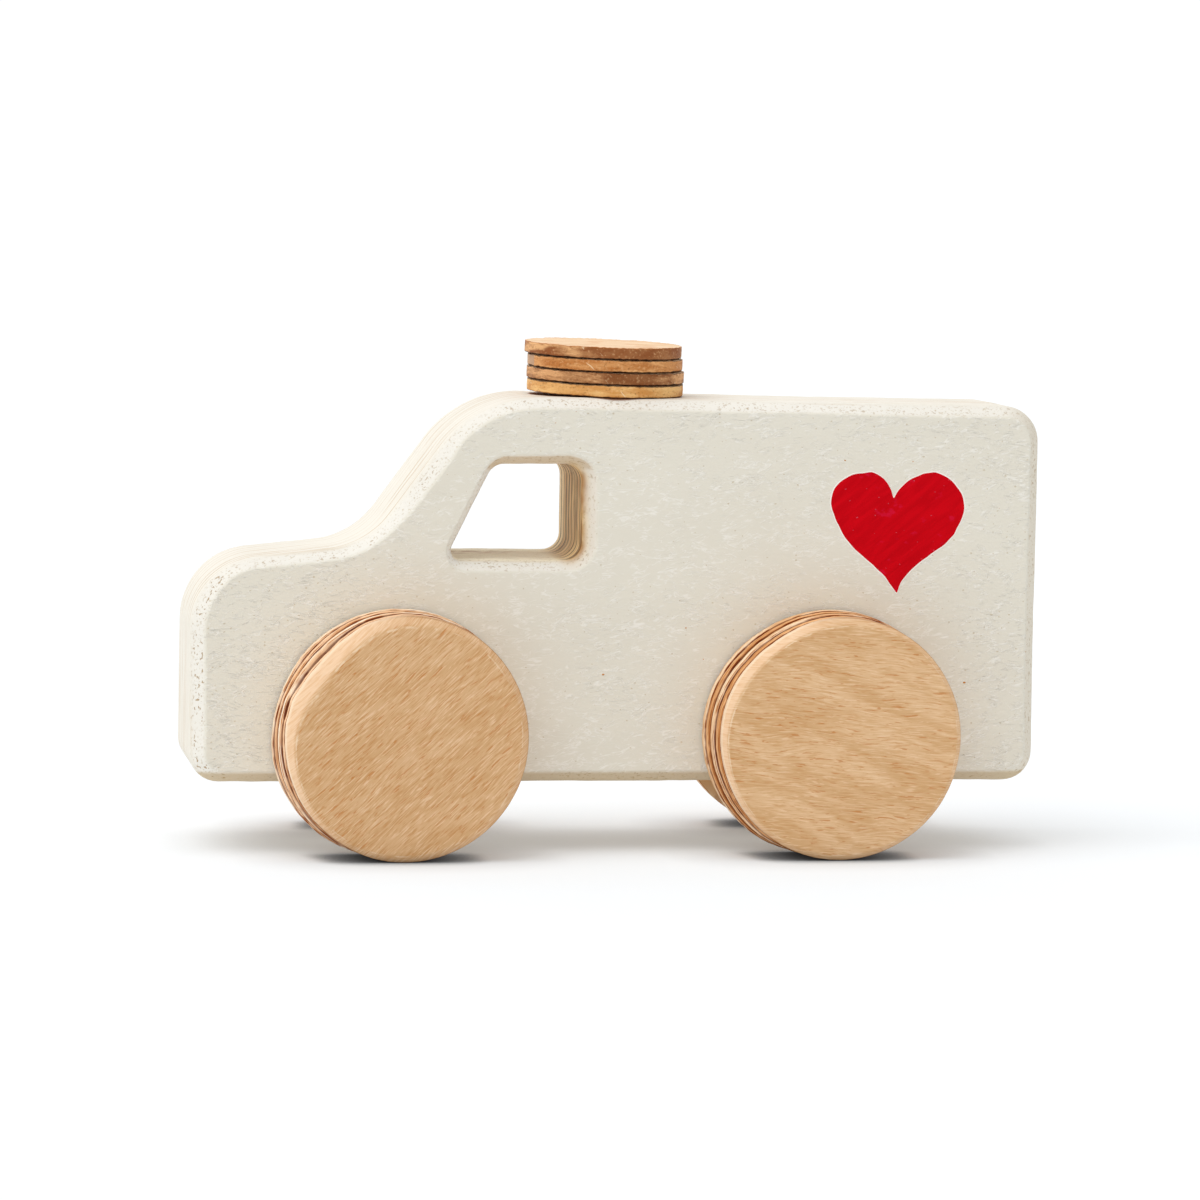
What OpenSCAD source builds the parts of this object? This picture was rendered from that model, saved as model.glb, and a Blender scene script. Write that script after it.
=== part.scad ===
// Push-along wooden toy ambulance: a body of two glued boards on two wheelsets, with a beacon on its roof.
// The origin is on the ground under the middle of the body. The nose points to -X and its left side to -Y.

/* [Body] */
// Length of the body from nose to tail
body_l = 174.5; // [165:0.5:200]
// Thickness of each of the two boards that are glued into the body
board_t = 18; // [12:0.5:24]
// Height of the underside above the ground
ride_h = 14.3; // [10:0.1:19]
// Height of the body at its tail
body_h = 77.5; // [72:0.1:90]
// Fall of the roof towards the tail, in degrees
roof_fall = 0.5; // [0:0.1:1.5]
// Height of the body at its nose
nose_h = 44.2; // [40:0.1:48]
// Length of the bonnet from the nose to the foot of the windscreen
bonnet_l = 35.6; // [32:0.1:40]
// Rise of the bonnet towards the windscreen, in degrees
bonnet_rise = 6.4; // [0:0.1:10]
// Slope of the windscreen from level, in degrees
screen_slope = 53.8; // [48:0.1:65]
// 45 degree chamfer round the body's side faces and round the window
edge_chamfer = 2.4; // [0.5:0.1:3.5]

/* [Body corners] */
// Radius of the nose
nose_r = 15; // [6:0.5:18]
// Radius of the hollow between the bonnet and the windscreen
bonnet_r = 17.5; // [6:0.5:20]
// Radius of the brow between the windscreen and the roof
brow_r = 24.5; // [10:0.5:30]
// Radius of the upper corner of the tail
tail_r = 7.5; // [4:0.5:15]
// Radius of the two lower corners
sill_r = 6; // [4:0.5:12]

/* [Window] */
// Distance from the nose to the window's rear wall
window_rear = 79.4; // [76:0.1:84]
// Length of the window along its sill
window_l = 27.8; // [22:0.1:30]
// Height of the window
window_h = 19.5; // [14:0.1:20]
// Height of the window's sill above the underside
window_sill = 45.3; // [42:0.1:47]
// Slope of the window's front wall from level, in degrees
window_slope = 64; // [58:0.5:80]
// Radius of the window's corners
window_r = 3.6; // [1:0.1:5]
// Radius of the sharp corner at the front of the sill
window_toe_r = 1.8; // [1:0.1:4]

/* [Wheels] */
// Diameter of the wheels
wheel_d = 50; // [42:0.5:56]
// Thickness of each ply of a wheel
ply_t = 3; // [2.6:0.1:4]
// 45 degree chamfer round a wheel's outer face
wheel_chamfer = 2.1; // [0.5:0.1:2.4]
// Distance from the nose to the front axle
axle_setback = 42; // [38:0.1:50]
// Distance from the front axle to the rear axle
wheelbase = 88.8; // [75:0.1:95]
// Gap between a wheel and the body's side
wheel_gap = 0.8; // [0.4:0.1:2]

/* [Axles] */
// Diameter of the axle dowels
axle_d = 8; // [5:0.5:10]
// Radial clearance of an axle that turns in the body
turn_clear = 0.08; // [0.02:0.01:0.1]
// Radial clearance of an axle that is glued into a wheel
glue_clear = 0.05; // [0.02:0.01:0.1]
// Room for glue between an axle's end and the closed outer ply
axle_end_gap = 0.5; // [0.1:0.1:1]

/* [Beacon] */
// Diameter of the beacon's discs
beacon_d = 32.6; // [20:0.1:36]
// Thickness of each disc
disc_t = 2.45; // [1.5:0.05:4]
// Glue line under each disc
disc_glue = 0.15; // [0.05:0.01:0.3]
// Distance from the nose to the middle of the beacon
beacon_setback = 86.3; // [84:0.1:120]
// Lean of the beacon, measured from the roof, in degrees
beacon_lean = 1.6; // [0:0.1:3]
// Direction of that lean, from the tail towards the left side, in degrees
beacon_lean_way = 50; // [0:1:90]

/* [Hidden] */
// Straight steps along each rounded corner
arc_steps = 16;
// Overshoot of the cutters past the faces they cut
cut = 1;

nose_x = -body_l / 2;
tail_x = body_l / 2;
roof_z = ride_h + body_h;
axle_z = wheel_d / 2;
front_axle_x = nose_x + axle_setback;
rear_axle_x = front_axle_x + wheelbase;

ply_count = 5;
drilled_plies = ply_count - 1;
wheel_inner_y = board_t + wheel_gap;
axle_l = 2 * (wheel_inner_y + drilled_plies * ply_t - axle_end_gap);

disc_count = 4;

// Each wheel: name, axle position, side of the body
WHEELS = [
    ["front_left_wheel", front_axle_x, -1],
    ["front_right_wheel", front_axle_x, 1],
    ["rear_left_wheel", rear_axle_x, -1],
    ["rear_right_wheel", rear_axle_x, 1]
];

function ply_name(wheel, n) = str(wheel[0], "_ply_", n);
function disc_name(n) = str("beacon_disc_", n);

paint_color = "#dad3c5";
wheel_colors = ["#e8cfae", "#cf9f70"];
beacon_colors = ["#d6a873", "#c4925e"];
dowel_color = "#d9b98c";

// Height of the roof line at x
function roof_at(x) = roof_z + (tail_x - x) * tan(roof_fall);

// Crossing of two lines, each given by a point and an angle
function crossing(p, p_angle, q, q_angle) =
    let (a = [cos(p_angle), sin(p_angle)], b = [cos(q_angle), sin(q_angle)])
    p + a * cross(q - p, b) / cross(a, b);

// Corners of the body's side outline as [x, z, radius], anticlockwise from the lower front
bonnet_foot = [nose_x + bonnet_l, ride_h + nose_h + bonnet_l * tan(bonnet_rise)];
brow = crossing(bonnet_foot, screen_slope, [tail_x, roof_z], -roof_fall);
body_corners = [
    [nose_x, ride_h, sill_r],
    [tail_x, ride_h, sill_r],
    [tail_x, roof_z, tail_r],
    [brow[0], brow[1], brow_r],
    [bonnet_foot[0], bonnet_foot[1], bonnet_r],
    [nose_x, ride_h + nose_h, nose_r]
];

// Corners of the window, anticlockwise from the front of the sill
window_x = nose_x + window_rear;
sill_z = ride_h + window_sill;
window_corners = [
    [window_x - window_l, sill_z, window_toe_r],
    [window_x, sill_z, window_r],
    [window_x, sill_z + window_h, window_r],
    [window_x - window_l + window_h / tan(window_slope), sill_z + window_h, window_r]
];

function at(corners, i) = let (c = corners[(i + len(corners)) % len(corners)]) [c[0], c[1]];
function edge(corners, i) = let (e = at(corners, i + 1) - at(corners, i)) e / norm(e);
function left_of(e) = [-e[1], e[0]];
function turned(v, a) = [v[0] * cos(a) - v[1] * sin(a), v[0] * sin(a) + v[1] * cos(a)];

// Signed turn of an anticlockwise outline at corner i: negative in a hollow
function turn_at(corners, i) =
    let (a = edge(corners, i - 1), b = edge(corners, i)) atan2(cross(a, b), a * b);

// The outline moved inwards by d, with its radii changed to suit
function inset(corners, d) = [
    for (i = [0 : len(corners) - 1])
        let (a = left_of(edge(corners, i - 1)), b = left_of(edge(corners, i)))
        let (p = at(corners, i) + d * (a + b) / (1 + a * b))
        [p[0], p[1], corners[i][2] - d * sign(turn_at(corners, i))]
];

// Points of the outline with every corner rounded by its radius
function rounded(corners) = [
    for (i = [0 : len(corners) - 1])
        let (turn = turn_at(corners, i), r = corners[i][2], a = edge(corners, i - 1))
        let (spoke = -sign(turn) * r * left_of(a))
        let (centre = at(corners, i) - a * r * tan(abs(turn) / 2) - spoke)
        for (k = [0 : arc_steps]) centre + turned(spoke, turn * k / arc_steps)
];

// Solid skinned over outlines of equal point count, each at its own y, from -Y to +Y
module skin(outlines, ys) {
    n = len(outlines[0]);
    last = len(outlines) - 1;
    points = [for (k = [0 : last], p = outlines[k]) [p[0], ys[k], p[1]]];
    sides = [
        for (k = [0 : last - 1], i = [0 : n - 1])
            [k * n + i, k * n + (i + 1) % n, (k + 1) * n + (i + 1) % n, (k + 1) * n + i]
    ];
    left_cap = [for (i = [n - 1 : -1 : 0]) i];
    right_cap = [for (i = [0 : n - 1]) last * n + i];
    polyhedron(points = points, faces = concat([left_cap, right_cap], sides));
}

// Round bar along Y, centred on the body
module across(x, d, l) {
    translate([x, 0, axle_z])
        rotate([90, 0, 0])
            cylinder(h = l, d = d, center = true, $fn = 96);
}

// Board on the left of the body, from its chamfered side face to the glue joint at y = 0
module board() {
    outer = rounded(inset(body_corners, edge_chamfer));
    full = rounded(body_corners);
    flare = rounded(inset(window_corners, -edge_chamfer - cut));
    opening = rounded(window_corners);
    chamfer_y = -board_t + edge_chamfer;
    difference() {
        skin([outer, full, full], [-board_t, chamfer_y, 0]);
        skin([flare, opening, opening], [-board_t - cut, chamfer_y, cut]);
        for (x = [front_axle_x, rear_axle_x])
            across(x, axle_d + 2 * turn_clear, 2 * board_t + 2 * cut);
    }
}

module body_left_board() {
    color(paint_color) board();
}

module body_right_board() {
    color(paint_color) mirror([0, 1, 0]) board();
}

module front_axle() {
    color(dowel_color) across(front_axle_x, axle_d, axle_l);
}

module rear_axle() {
    color(dowel_color) across(rear_axle_x, axle_d, axle_l);
}

// Half section of ply n of a wheel: the inner plies are drilled, the outer one is closed and chamfered
module ply_section(n) {
    r = wheel_d / 2;
    if (n > drilled_plies)
        polygon([[0, 0], [r, 0], [r, ply_t - wheel_chamfer], [r - wheel_chamfer, ply_t], [0, ply_t]]);
    else
        translate([axle_d / 2 + glue_clear, 0])
            square([r - axle_d / 2 - glue_clear, ply_t]);
}

// Ply n of a wheel, counted outwards from the body
module wheel_ply(wheel, n) {
    color(wheel_colors[n % 2])
        translate([wheel[1], 0, axle_z])
            rotate([-wheel[2] * 90, 0, 0])
                translate([0, 0, wheel_inner_y + (n - 1) * ply_t])
                    rotate_extrude($fn = 128) ply_section(n);
}

// Disc n of the beacon, counted upwards. The stack leans over the point of its lower edge that meets the roof
module beacon_disc(n) {
    beacon_x = nose_x + beacon_setback;
    heel_r = beacon_d / 2;
    color(beacon_colors[n % 2])
        translate([beacon_x, 0, roof_at(beacon_x)])
            rotate([0, roof_fall, -beacon_lean_way])
                translate([heel_r, 0, disc_glue])
                    rotate([0, beacon_lean, 0])
                        translate([-heel_r, 0, (n - 1) * (disc_t + disc_glue)])
                            cylinder(h = disc_t, d = beacon_d, $fn = 96);
}

body_left_board();
body_right_board();
front_axle();
rear_axle();
for (wheel = WHEELS, n = [1 : ply_count])
    wheel_ply(wheel, n);
for (n = [1 : disc_count])
    beacon_disc(n);
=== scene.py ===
import math

import bmesh
import bpy
from mathutils import Matrix, Vector, noise


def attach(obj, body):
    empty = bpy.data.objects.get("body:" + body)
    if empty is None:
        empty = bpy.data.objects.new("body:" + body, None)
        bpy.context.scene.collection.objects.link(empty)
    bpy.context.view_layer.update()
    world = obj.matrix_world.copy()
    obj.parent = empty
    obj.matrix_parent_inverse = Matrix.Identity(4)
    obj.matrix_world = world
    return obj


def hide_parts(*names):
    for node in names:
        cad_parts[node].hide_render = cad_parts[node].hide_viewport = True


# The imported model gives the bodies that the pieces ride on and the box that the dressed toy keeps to.
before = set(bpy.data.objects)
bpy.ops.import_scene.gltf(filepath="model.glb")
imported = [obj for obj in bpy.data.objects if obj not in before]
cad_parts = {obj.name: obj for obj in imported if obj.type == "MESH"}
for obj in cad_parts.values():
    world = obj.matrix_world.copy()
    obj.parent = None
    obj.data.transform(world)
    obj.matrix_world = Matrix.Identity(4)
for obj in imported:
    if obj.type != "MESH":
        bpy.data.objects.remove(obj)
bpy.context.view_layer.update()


# Body boards: two thick plywood boards sawn to one outline with a window through both, glued face to
# face, chamfered by hand round their outer sides and bored for the axles.
mm = 0.001
board_thickness = 18.0 * mm
board_chamfer = 2.4 * mm
outline_step = 1.0 * mm
axle_height = 25.0 * mm
front_axle_x = -45.25 * mm
rear_axle_x = 43.55 * mm
axle_bore = 8.16 * mm
beacon_x = -0.95 * mm

# Seed of every waver drawn below, so that each run saws the same toy
noise.seed_set(14)

# x, z and radius of each corner in mm, from the lower front corner along the underside to the tail
body_corners = [
    (-87.25, 14.3, 6.0),
    (87.25, 14.3, 6.0),
    (87.25, 91.8, 7.5),
    (-29.45, 92.82, 24.5),
    (-51.65, 62.49, 17.5),
    (-87.25, 58.5, 15.0),
]
window_corners = [
    (-35.65, 59.6, 1.8),
    (-7.85, 59.6, 3.6),
    (-7.85, 79.1, 3.6),
    (-26.14, 79.1, 3.6),
]

# Where the chamfer was cut wider or narrower: x and z range in mm, then the shift of its edge on the face
chamfer_slips = [
    ((-92, -82), (18, 52), (0.8, 0.0)),
    ((-7, 0), (60, 79), (0.6, 0.0)),
    ((-42, -26), (58, 80), (1.0, 0.0)),
    ((-30, -8), (80, 84), (0.0, -0.3)),
]


def start_drawing(name):
    """New mesh in edit mode with a single vertex at the origin, which is selected."""
    bpy.ops.object.select_all(action="DESELECT")
    bpy.ops.mesh.primitive_plane_add(size=mm)
    piece = bpy.context.object
    piece.name = name
    piece.data.name = name
    bpy.ops.object.mode_set(mode="EDIT")
    bpy.ops.mesh.select_mode(type="VERT")
    bpy.ops.mesh.merge(type="CENTER")
    return piece


def pull(shift):
    """Extrude what is selected and move it by a shift."""
    bpy.ops.mesh.extrude_region_move(TRANSFORM_OT_translate={"value": shift})


def draw_rounded(corners):
    """Draw a closed outline from the selected vertex: straight runs are extruded and corners are spun."""
    places = [Vector((x, 0, z)) * mm for x, z, radius in corners]
    bends = []
    for i, here in enumerate(places):
        radius = corners[i][2] * mm
        run_in = (here - places[i - 1]).normalized()
        run_out = (places[(i + 1) % len(places)] - here).normalized()
        turn = math.atan2(run_in.x * run_out.z - run_in.z * run_out.x, run_in.dot(run_out))
        reach = radius * math.tan(abs(turn) / 2)
        spoke = Vector((-run_in.z, 0, run_in.x)) * math.copysign(radius, turn)
        start = here - run_in * reach
        bends.append((start, start + spoke, turn, here + run_out * reach))
    pen = bends[-1][3]
    bpy.ops.transform.translate(value=pen)
    for start, centre, turn, end in bends:
        pull(start - pen)
        steps = max(8, round(abs(turn) * (start - centre).length / outline_step))
        bpy.ops.mesh.spin(steps=steps, angle=turn, center=centre, axis=(0, 1, 0))
        pen = end


def split_long_edges(piece, step):
    """Cut every edge that is longer than a step and a half into even steps."""
    while True:
        bpy.ops.mesh.select_all(action="DESELECT")
        grid = bmesh.from_edit_mesh(piece.data)
        lengthy = [edge for edge in grid.edges if edge.calc_length() > 1.5 * step]
        if not lengthy:
            return
        lengthy[0].select_set(True)
        bpy.ops.mesh.subdivide(number_cuts=max(1, round(lengthy[0].calc_length() / step) - 1))


def select_faces(piece, wanted):
    """Select the faces whose middle passes a test."""
    bpy.ops.mesh.select_mode(type="FACE")
    bpy.ops.mesh.select_all(action="DESELECT")
    grid = bmesh.from_edit_mesh(piece.data)
    for face in grid.faces:
        if wanted(face.calc_center_median()):
            face.select_set(True)
    bmesh.update_edit_mesh(piece.data)


def chamfer_section(width, heel, lip, steps=4):
    """Points (inwards, outwards) across a chamfer that is eased by radius heel below and lip above."""
    eighth = math.pi / 4
    heel_reach = heel * math.tan(eighth / 2)
    lip_reach = lip * math.tan(eighth / 2)
    angles = [eighth * i / steps for i in range(steps + 1)]
    rising = [(heel - heel * math.cos(a), heel * math.sin(a) - heel_reach) for a in angles]
    closing = [(width + lip_reach - lip * math.sin(a), width - lip + lip * math.cos(a))
               for a in reversed(angles)]
    return rising + closing


def ease(value, start, end):
    """0 at start, 1 at end, smooth between."""
    share = min(1.0, max(0.0, (value - start) / (end - start)))
    return share * share * (3 - 2 * share)


def slip_of_chamfer(place):
    """Shift of the chamfer's edge on the side face at a place."""
    shift = Vector((0, 0, 0))
    for x_range, z_range, (dx, dz) in chamfer_slips:
        weight = 1.0
        for value, (low, high) in ((place.x / mm, x_range), (place.z / mm, z_range)):
            weight *= ease(value, low - 6, low) * ease(value, high + 6, high)
        shift += Vector((dx, 0, dz)) * weight * mm
    return shift


def bore_through(board, x):
    """Bore an axle hole through a board."""
    bpy.ops.object.select_all(action="DESELECT")
    bpy.ops.mesh.primitive_cylinder_add(
        vertices=64,
        radius=axle_bore / 2,
        depth=4 * board_thickness,
        location=(x, 0, axle_height),
        rotation=(math.pi / 2, 0, 0),
    )
    drill = bpy.context.object
    cut = board.modifiers.new("axle_bore", "BOOLEAN")
    cut.object = drill
    cut.solver = "EXACT"
    bpy.context.view_layer.objects.active = board
    bpy.ops.object.modifier_apply(modifier=cut.name)
    bpy.data.objects.remove(drill)


def smooth_shading(piece, degrees):
    """Shade a piece smooth, apart from the edges that are sharper than an angle."""
    bpy.ops.object.select_all(action="DESELECT")
    piece.select_set(True)
    bpy.context.view_layer.objects.active = piece
    bpy.ops.object.shade_smooth_by_angle(angle=math.radians(degrees))


def select_mesh():
    """Select the whole of the mesh that is being edited."""
    bpy.ops.mesh.select_all(action="SELECT")


def saw_board(name, side):
    """One board, from the glue joint at y = 0 to its side face on the given side."""
    board = start_drawing(name)
    draw_rounded(body_corners)
    bpy.ops.mesh.primitive_plane_add(size=mm)
    bpy.ops.mesh.merge(type="CENTER")
    draw_rounded(window_corners)
    select_mesh()
    bpy.ops.mesh.remove_doubles(threshold=0.01 * mm)
    split_long_edges(board, outline_step)
    select_mesh()
    bpy.ops.mesh.fill()

    section = chamfer_section(board_chamfer, heel=1.8 * mm, lip=0.5 * mm)
    wall = board_thickness - board_chamfer + section[0][1]
    layers = 8
    select_mesh()
    for layer in range(layers):
        pull((0, side * wall / layers, 0))
    select_mesh()
    bpy.ops.mesh.normals_make_consistent(inside=False)
    select_faces(board, lambda middle: abs(middle.y) > wall - 0.1 * mm)
    for (inwards, outwards), (next_in, next_out) in zip(section, section[1:]):
        bpy.ops.mesh.inset(thickness=next_in - inwards, depth=next_out - outwards)
    bpy.ops.mesh.inset(thickness=0.5 * mm, depth=0)
    bpy.ops.object.mode_set(mode="OBJECT")

    for vertex in board.data.vertices:
        place = vertex.co.copy()
        on_face = ease(abs(place.y), wall, board_thickness)
        waver = noise.noise_vector(place / (22 * mm)) * 0.16 * mm
        waver += noise.noise_vector(place / (9 * mm)) * 0.12 * mm * on_face
        waver += noise.noise_vector(place / (3.5 * mm)) * 0.06 * mm
        waver += slip_of_chamfer(place) * on_face
        vertex.co.x = min(body_corners[1][0] * mm, max(body_corners[0][0] * mm, place.x + waver.x))
        vertex.co.z += waver.z
    bore_through(board, front_axle_x)
    bore_through(board, rear_axle_x)
    smooth_shading(board, 40)
    return board


def new_finish(name, roughness, specular=0.2):
    """New material with its node tree, its shader and the Object coordinates."""
    material = bpy.data.materials.new(name)
    material.use_nodes = True
    tree = material.node_tree
    shader = tree.nodes["Principled BSDF"]
    shader.inputs["Roughness"].default_value = roughness
    shader.inputs["Specular IOR Level"].default_value = specular
    place = tree.nodes.new("ShaderNodeTexCoord").outputs["Object"]
    return material, tree, shader, place


def shade(red, green, blue):
    """Linear colour of an sRGB colour given in 0 to 255."""
    values = [value / 255 for value in (red, green, blue)]
    return [v / 12.92 if v < 0.04045 else ((v + 0.055) / 1.055) ** 2.4 for v in values] + [1.0]


def join(tree, value, socket):
    """Link a socket, or set its number or colour."""
    if isinstance(value, bpy.types.NodeSocket):
        tree.links.new(value, socket)
    else:
        socket.default_value = value


def calc(tree, operation, first, second=0.0):
    """Result of a math node on numbers or sockets."""
    node = tree.nodes.new("ShaderNodeMath")
    node.operation = operation
    join(tree, first, node.inputs[0])
    join(tree, second, node.inputs[1])
    return node.outputs[0]


def times(tree, result, *others):
    """Product of numbers or sockets."""
    for other in others:
        result = calc(tree, "MULTIPLY", result, other)
    return result


def plus(tree, first, second):
    """Sum of two numbers or sockets."""
    return calc(tree, "ADD", first, second)


def less(tree, first, second):
    """Difference of two numbers or sockets."""
    return calc(tree, "SUBTRACT", first, second)


def larger(tree, result, *others):
    """Largest of numbers or sockets."""
    for other in others:
        result = calc(tree, "MAXIMUM", result, other)
    return result


def parts(tree, vector):
    """The x, y and z of a vector."""
    node = tree.nodes.new("ShaderNodeSeparateXYZ")
    tree.links.new(vector, node.inputs[0])
    return node.outputs


def fade(tree, value, start, end):
    """0 at start, 1 at end, smooth between."""
    node = tree.nodes.new("ShaderNodeMapRange")
    node.interpolation_type = "SMOOTHSTEP"
    join(tree, value, node.inputs["Value"])
    node.inputs["From Min"].default_value = start
    node.inputs["From Max"].default_value = end
    return node.outputs["Result"]


def tint(tree, amount, under, over):
    """Colour over laid on colour under by an amount."""
    node = tree.nodes.new("ShaderNodeMix")
    node.data_type = "RGBA"
    join(tree, amount, node.inputs[0])
    join(tree, under, node.inputs[6])
    join(tree, over, node.inputs[7])
    return node.outputs[2]


def figure(tree, place, size, centre=(0, 0, 0), slant=0, detail=2, warp=0.0):
    """Cloudy pattern whose lumps have a size in mm along x, y and z, turned about y by slant degrees."""
    frame_of_pattern = tree.nodes.new("ShaderNodeMapping")
    frame_of_pattern.vector_type = "TEXTURE"
    join(tree, place, frame_of_pattern.inputs["Vector"])
    frame_of_pattern.inputs["Location"].default_value = centre
    frame_of_pattern.inputs["Rotation"].default_value = (0, math.radians(slant), 0)
    frame_of_pattern.inputs["Scale"].default_value = [length * mm for length in size]
    cloud = tree.nodes.new("ShaderNodeTexNoise")
    join(tree, frame_of_pattern.outputs[0], cloud.inputs["Vector"])
    cloud.inputs["Scale"].default_value = 1.0
    cloud.inputs["Detail"].default_value = detail
    cloud.inputs["Distortion"].default_value = warp
    return cloud.outputs[0]


def finish_off(tree, shader, colour, height, depth):
    """Give a finish its colour, and raise and sink it by a pattern, over a depth in mm."""
    tree.links.new(colour, shader.inputs["Base Color"])
    node = tree.nodes.new("ShaderNodeBump")
    node.inputs["Strength"].default_value = 1.0
    node.inputs["Distance"].default_value = depth * mm
    join(tree, height, node.inputs["Height"])
    tree.links.new(node.outputs["Normal"], shader.inputs["Normal"])


def brushed_paint():
    """Matt cream paint: fibres on the side faces, pits on the chamfers, ply lines on the sawn edges."""
    material, tree, shader, place = new_finish("cream_paint", roughness=0.6)
    x, y, z = parts(tree, place)
    depth = calc(tree, "ABSOLUTE", y)
    on_face = fade(tree, depth, 17.4 * mm, 17.95 * mm)
    on_wall = fade(tree, depth, 16.4 * mm, 15.2 * mm)
    on_chamfer = less(tree, less(tree, 1.0, on_face), on_wall)

    # The window, with its chamfer: behind its sloping front wall and round its middle height
    window_lean = 0.488
    window_middle = 69.35 * mm
    slope = less(tree, x, times(tree, z, window_lean))
    above = less(tree, z, window_middle)
    behind = fade(tree, slope, -69.0 * mm, -68.0 * mm)
    before = fade(tree, x, -3.8 * mm, -4.8 * mm)
    between = fade(tree, calc(tree, "ABSOLUTE", above), 13.4 * mm, 12.6 * mm)
    window = times(tree, behind, before, between, less(tree, 1.0, on_face))
    rear_wall = fade(tree, x, -13.5 * mm, -9.0 * mm)
    lintel = fade(tree, above, 8.0 * mm, 9.6 * mm)

    # The coat, whiter on the edges than on the faces, with painted shade at the tail and low down
    cloud = figure(tree, place, (34, 34, 16), detail=3)
    face_coat = tint(tree, cloud, shade(224, 218, 203), shade(232, 227, 213))
    edge_coat = tint(tree, cloud, shade(234, 229, 218), shade(242, 238, 229))
    wall_coat = tint(tree, cloud, shade(230, 224, 211), shade(237, 232, 221))
    edge_coat = tint(tree, on_wall, edge_coat, wall_coat)
    # The tail end, which faces away from the light, is painted darker: painted shade
    edge_coat = tint(tree, fade(tree, x, 78 * mm, 86 * mm), edge_coat, shade(227, 219, 203))
    coat = tint(tree, on_face, edge_coat, face_coat)
    # The bottom chamfer is painted browner and darker: painted shade under the body
    low = fade(tree, z, 16.9 * mm, 15.9 * mm)
    coat = tint(tree, times(tree, low, 0.78), coat, shade(198, 175, 136))

    # Raised fibres under the paint: three sets that cross a little, each with its length, width, slant
    # and offset, and a tooth between them, which is coarser towards the nose, the tail and the roof
    fibres = 0.0
    fibre_sets = ((5.0, 0.85, -8, 0.1), (3.6, 0.75, -27, 0.3), (3.4, 0.7, 12, 0.5))
    for length, width, slant, offset in fibre_sets:
        weave = figure(tree, place, (length, length, width), (offset, 0, 0), slant, detail=1, warp=0.9)
        crest = fade(tree, calc(tree, "ABSOLUTE", less(tree, weave, 0.5)), 0.05, 0.0)
        sparse = figure(tree, place, (2.8, 2.8, 1.7), (0, 0, offset), slant, detail=1)
        fibres = larger(tree, fibres, times(tree, crest, fade(tree, sparse, 0.50, 0.62)))
    fibres = times(tree, fibres, on_face)
    # The fibres are painted lighter on the face: a painted highlight on their raised crests
    coat = tint(tree, times(tree, fibres, 0.5), coat, shade(250, 247, 240))
    tooth = figure(tree, place, (1.5, 1.5, 0.5), slant=-14, detail=3, warp=0.6)
    coarse = fade(tree, figure(tree, place, (24, 24, 14), centre=(0.2, 0, 0.1), detail=1), 0.40, 0.62)
    nose = fade(tree, x, -30 * mm, -65 * mm)
    tail = times(tree, fade(tree, x, 58 * mm, 80 * mm), 0.8)
    roof = times(tree, fade(tree, z, 76 * mm, 88 * mm), 0.8)
    coarse = larger(tree, times(tree, coarse, 0.5), nose, tail, roof)

    # The lines of the plies, five to a board, drawn out along the edges, and bare wood in the window
    streaks = figure(tree, place, (22, 1.1, 22), detail=3, warp=0.2)
    sway = times(tree, figure(tree, place, (26, 12, 26), detail=3), 0.55)
    layer = calc(tree, "FRACT", plus(tree, calc(tree, "DIVIDE", y, 3.6 * mm), sway))
    seam = fade(tree, calc(tree, "ABSOLUTE", less(tree, layer, 0.5)), 0.15, 0.05)
    lines = times(tree, seam, fade(tree, streaks, 0.34, 0.52))
    dashes = plus(tree, 0.45, times(tree, window, 0.45))
    grain = times(tree, fade(tree, streaks, 0.54, 0.68), dashes)
    uneven = fade(tree, figure(tree, place, (30, 3.4, 30), centre=(0.3, 0, 0.2), detail=2), 0.42, 0.60)
    worn = larger(tree, plus(tree, 0.3, times(tree, uneven, 0.7)), window)
    lines = times(tree, larger(tree, lines, grain), worn, on_wall)
    sides = times(tree, larger(tree, rear_wall, times(tree, lintel, 0.4)), window)
    sill = times(tree, fade(tree, above, -8.0 * mm, -9.4 * mm), window, on_wall)
    far_strip = times(tree, fade(tree, y, -1 * mm, 2 * mm), fade(tree, y, 9 * mm, 7.5 * mm))
    thin = times(tree, sides, fade(tree, depth, 17.2 * mm, 15.0 * mm))
    # The sill is painted near white: painted light for the daylight it catches through the window
    coat = tint(tree, sill, coat, shade(255, 246, 222))
    bare = fade(tree, figure(tree, place, (7, 1.4, 7), detail=3), 0.38, 0.62)
    bare = tint(tree, bare, shade(237, 200, 132), shade(198, 151, 82))
    bare = tint(tree, fade(tree, y, 6 * mm, 11 * mm), bare, shade(248, 220, 170))
    coat = tint(tree, times(tree, thin, 0.9), coat, bare)
    paint_over = less(tree, 0.66, times(tree, sill, 0.6))
    seen = larger(tree, paint_over, sides, times(tree, sill, far_strip, 0.5))
    line_brown = tint(tree, sides, shade(186, 148, 86), shade(88, 54, 14))
    coat = tint(tree, times(tree, lines, seen), coat, line_brown)

    # Paint rubbed through along the window's upper and rear edges
    edge = larger(tree, lintel, times(tree, rear_wall, 0.3))
    edge = times(tree, edge, window, on_chamfer)
    coat = tint(tree, times(tree, edge, 0.6), coat, shade(196, 166, 120))
    heel = times(tree, fade(tree, depth, 14.6 * mm, 15.4 * mm), fade(tree, depth, 16.6 * mm, 15.6 * mm))
    rubbed = fade(tree, figure(tree, place, (4, 4, 4), centre=(0.4, 0, 0), detail=3), 0.38, 0.60)
    heel = times(tree, heel, rear_wall, rubbed, 0.5)
    far_heel = times(tree, far_strip, rubbed, fade(tree, x, -15 * mm, -25 * mm), sill, 0.5)
    heel = times(tree, larger(tree, heel, far_heel), window)
    coat = tint(tree, heel, coat, shade(160, 98, 30))

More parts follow.
